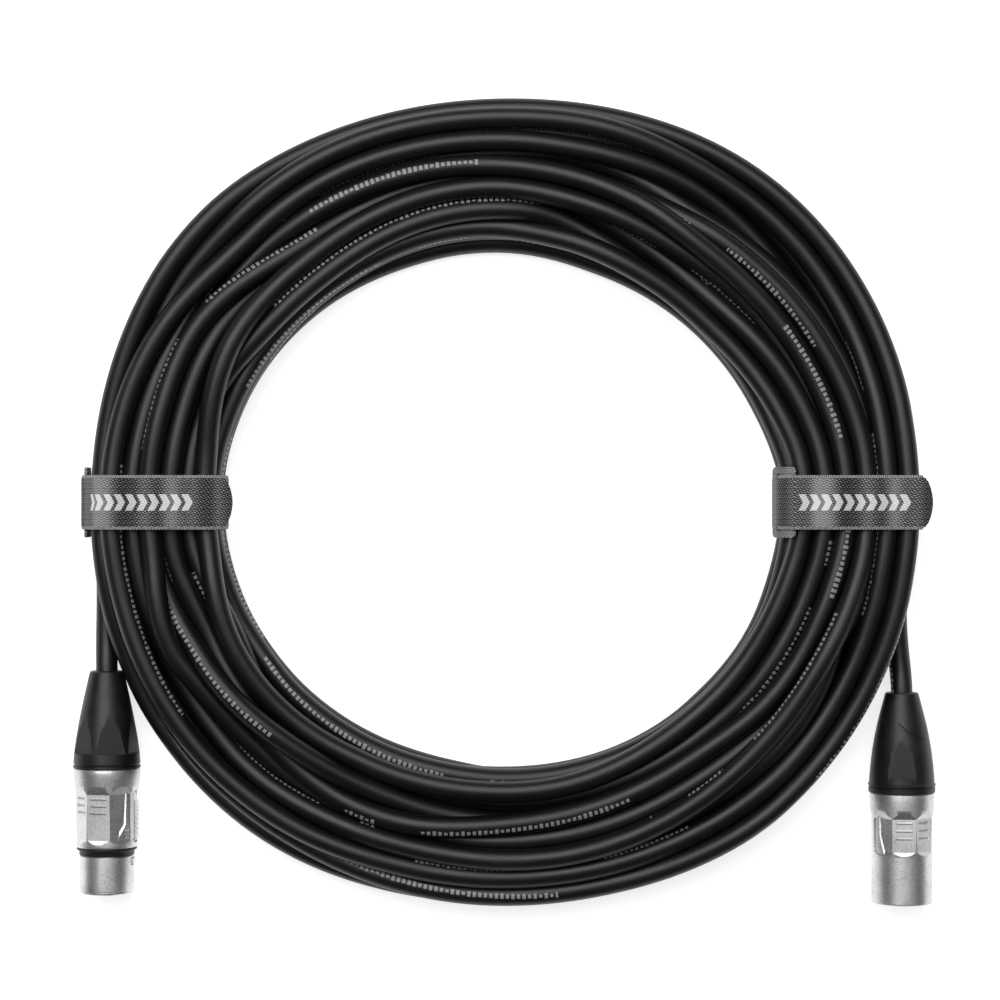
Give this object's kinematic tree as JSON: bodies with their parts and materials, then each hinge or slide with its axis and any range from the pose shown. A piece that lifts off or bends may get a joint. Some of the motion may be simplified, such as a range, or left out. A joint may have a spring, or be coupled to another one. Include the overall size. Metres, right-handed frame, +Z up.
{
  "type": "microphone cable coil",
  "caption": "Long microphone cable wound into a flat round coil, held by two woven hook-and-loop ties, with a socket connector and a pin connector lying beside it.",
  "frame": {"origin": "centre of the coil on the surface it lies on", "axes": "+X towards the pin connector's side, +Y up the coil away from both connectors' mating ends, +Z up"},
  "size_m": [0.259, 0.246, 0.0275],
  "materials": {
    "jacket": "matte black PVC jacket",
    "strap": "grey woven hook-and-loop strap",
    "strap_tail": "grey woven hook-and-loop strap",
    "boot": "soft black rubber",
    "bushing": "black moulded plastic",
    "chuck": "natural nylon",
    "nickel": "satin nickel on a zinc die casting",
    "latch": "satin nickel",
    "seal": "black rubber",
    "insert": "black glass-filled nylon",
    "contact": "silver-plated brass",
    "spring": "spring steel",
    "core": "insulated stranded core"
  },
  "bodies": {
    "cable": {"cable_coil": "jacket", "female_cable_tail": "jacket", "male_cable_tail": "jacket", "left_tie_strap": "strap", "right_tie_strap": "strap", "female_boot": "boot", "female_bushing": "bushing", "female_chuck": "chuck", "female_shell": "nickel", "female_seal_ring": "seal", "female_insert": "insert", "female_contact_1": "contact", "female_contact_2": "contact", "female_contact_3": "contact", "female_latch_spring": "spring", "female_wires": "core", "male_boot": "boot", "male_bushing": "bushing", "male_chuck": "chuck", "male_shell": "nickel", "male_insert": "insert", "male_pin_1": "contact", "male_pin_2": "contact", "male_pin_3": "contact", "male_wires": "core"},
    "left_tie_tail": {"left_tie_tail": "strap_tail"},
    "right_tie_tail": {"right_tie_tail": "strap_tail"},
    "female_latch": {"female_latch": "latch"}
  },
  "joints": [
    {"name": "left_tie_peel", "type": "hinge", "parent": "cable", "child": "left_tie_tail", "pos_m": [-0.12585, 0, 0.0186], "axis": [0, -1, 0], "range_deg": [0, 150]},
    {"name": "right_tie_peel", "type": "hinge", "parent": "cable", "child": "right_tie_tail", "pos_m": [0.08215, 0, 0.0186], "axis": [0, -1, 0], "range_deg": [0, 150]},
    {"name": "latch_press", "type": "hinge", "parent": "cable", "child": "female_latch", "pos_m": [-0.1119, -0.0883, 0.01], "axis": [0, 0, -1], "range_deg": [0, 2.6], "stiffness_Nm_per_rad": 0.5, "springref_deg": -1.15, "deforming": ["female_latch_spring"]}
  ]
}
